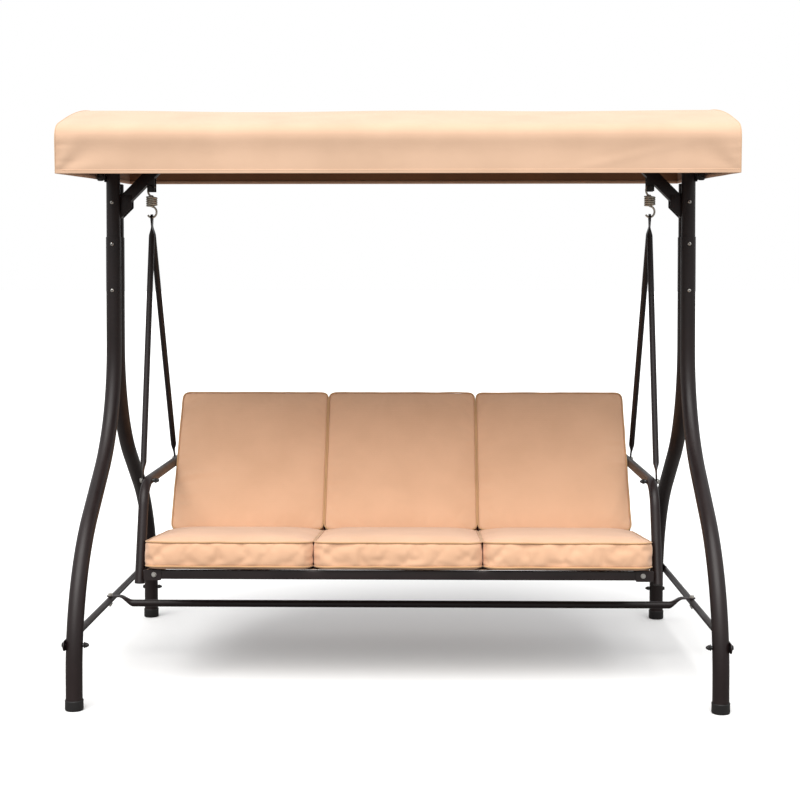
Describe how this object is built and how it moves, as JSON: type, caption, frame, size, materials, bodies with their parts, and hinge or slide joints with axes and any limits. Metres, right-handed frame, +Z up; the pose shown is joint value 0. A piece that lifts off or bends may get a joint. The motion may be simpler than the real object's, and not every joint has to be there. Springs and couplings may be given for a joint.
{
  "type": "canopy swing bench",
  "caption": "Garden swing bench: padded seat and back hang on springs in a tubular stand, under a tilting fabric canopy.",
  "frame": {"origin": "on the ground, midway between the four feet", "axes": "+X along the bench, to the right seen from the front; +Y towards the back; +Z up"},
  "size_m": [1.96, 1.265, 1.7691],
  "materials": {
    "frame_paint": "satin powder coat, very dark brown",
    "zinc_bolt": "zinc plate",
    "spring_zinc": "zinc plate, dull",
    "black_plastic": "matte moulded",
    "cushion_cloth": "woven polyester, peach beige",
    "canopy_cloth": "coated polyester, peach beige",
    "sling_mesh": "woven mesh, tan"
  },
  "bodies": {
    "stand": {"leg_front_left": "frame_paint", "leg_front_right": "frame_paint", "leg_rear_left": "frame_paint", "leg_rear_right": "frame_paint", "post_front_left": "frame_paint", "post_front_right": "frame_paint", "post_rear_left": "frame_paint", "post_rear_right": "frame_paint", "foot_cap_front_left": "black_plastic", "foot_cap_front_right": "black_plastic", "foot_cap_rear_left": "black_plastic", "foot_cap_rear_right": "black_plastic", "side_brace_left": "frame_paint", "side_brace_right": "frame_paint", "cross_bar": "frame_paint", "top_beam": "frame_paint", "diagonal_left": "frame_paint", "diagonal_right": "frame_paint", "gusset_left": "frame_paint", "gusset_right": "frame_paint", "spring_bolt_left": "zinc_bolt", "spring_bolt_right": "zinc_bolt"},
    "springs": {"spring_left": "spring_zinc", "spring_right": "spring_zinc"},
    "seat": {"hanger_front_left": "frame_paint", "hanger_front_right": "frame_paint", "hanger_rear_left": "frame_paint", "hanger_rear_right": "frame_paint", "arm_bolt_front_left": "zinc_bolt", "arm_bolt_front_right": "zinc_bolt", "arm_bolt_rear_left": "zinc_bolt", "arm_bolt_rear_right": "zinc_bolt", "arm_left": "frame_paint", "arm_right": "frame_paint", "seat_rail_front": "frame_paint", "seat_rail_rear": "frame_paint", "seat_rail_left": "frame_paint", "seat_rail_right": "frame_paint", "back_tube_left": "frame_paint", "back_tube_right": "frame_paint", "back_rail_top": "frame_paint", "seat_sling": "sling_mesh", "back_sling": "sling_mesh", "seat_cushion_left": "cushion_cloth", "seat_cushion_middle": "cushion_cloth", "seat_cushion_right": "cushion_cloth", "back_cushion_left": "cushion_cloth", "back_cushion_middle": "cushion_cloth", "back_cushion_right": "cushion_cloth"},
    "canopy": {"canopy_fabric": "canopy_cloth", "canopy_rail_front": "frame_paint", "canopy_rail_rear": "frame_paint", "canopy_bow_left": "frame_paint", "canopy_bow_middle": "frame_paint", "canopy_bow_right": "frame_paint", "canopy_bracket_left": "frame_paint", "canopy_bracket_right": "frame_paint"},
    "knob_left": {"canopy_knob_left": "black_plastic"},
    "knob_right": {"canopy_knob_right": "black_plastic"}
  },
  "joints": [
    {"name": "swing", "type": "hinge", "parent": "stand", "child": "springs", "pos_m": [0, 0, 1.5293], "axis": [1, 0, 0], "range_deg": [-20, 20]},
    {"name": "spring_stretch", "type": "slide", "parent": "springs", "child": "seat", "axis": [0, 0, -1], "range_m": [0, 0.012], "stiffness_N_per_m": 240000, "springref_m": -0.002, "deforming": ["spring_left", "spring_right"]},
    {"name": "canopy_tilt", "type": "hinge", "parent": "stand", "child": "canopy", "pos_m": [0, -0.0275, 1.56], "axis": [1, 0, 0], "range_deg": [-15, 15]},
    {"name": "knob_left_turn", "type": "hinge", "parent": "stand", "child": "knob_left", "pos_m": [-0.95, -0.0275, 1.56], "axis": [-1, 0, 0], "range_deg": [0, 270]},
    {"name": "knob_right_turn", "type": "hinge", "parent": "stand", "child": "knob_right", "pos_m": [0.95, -0.0275, 1.56], "axis": [1, 0, 0], "range_deg": [0, 270]}
  ]
}
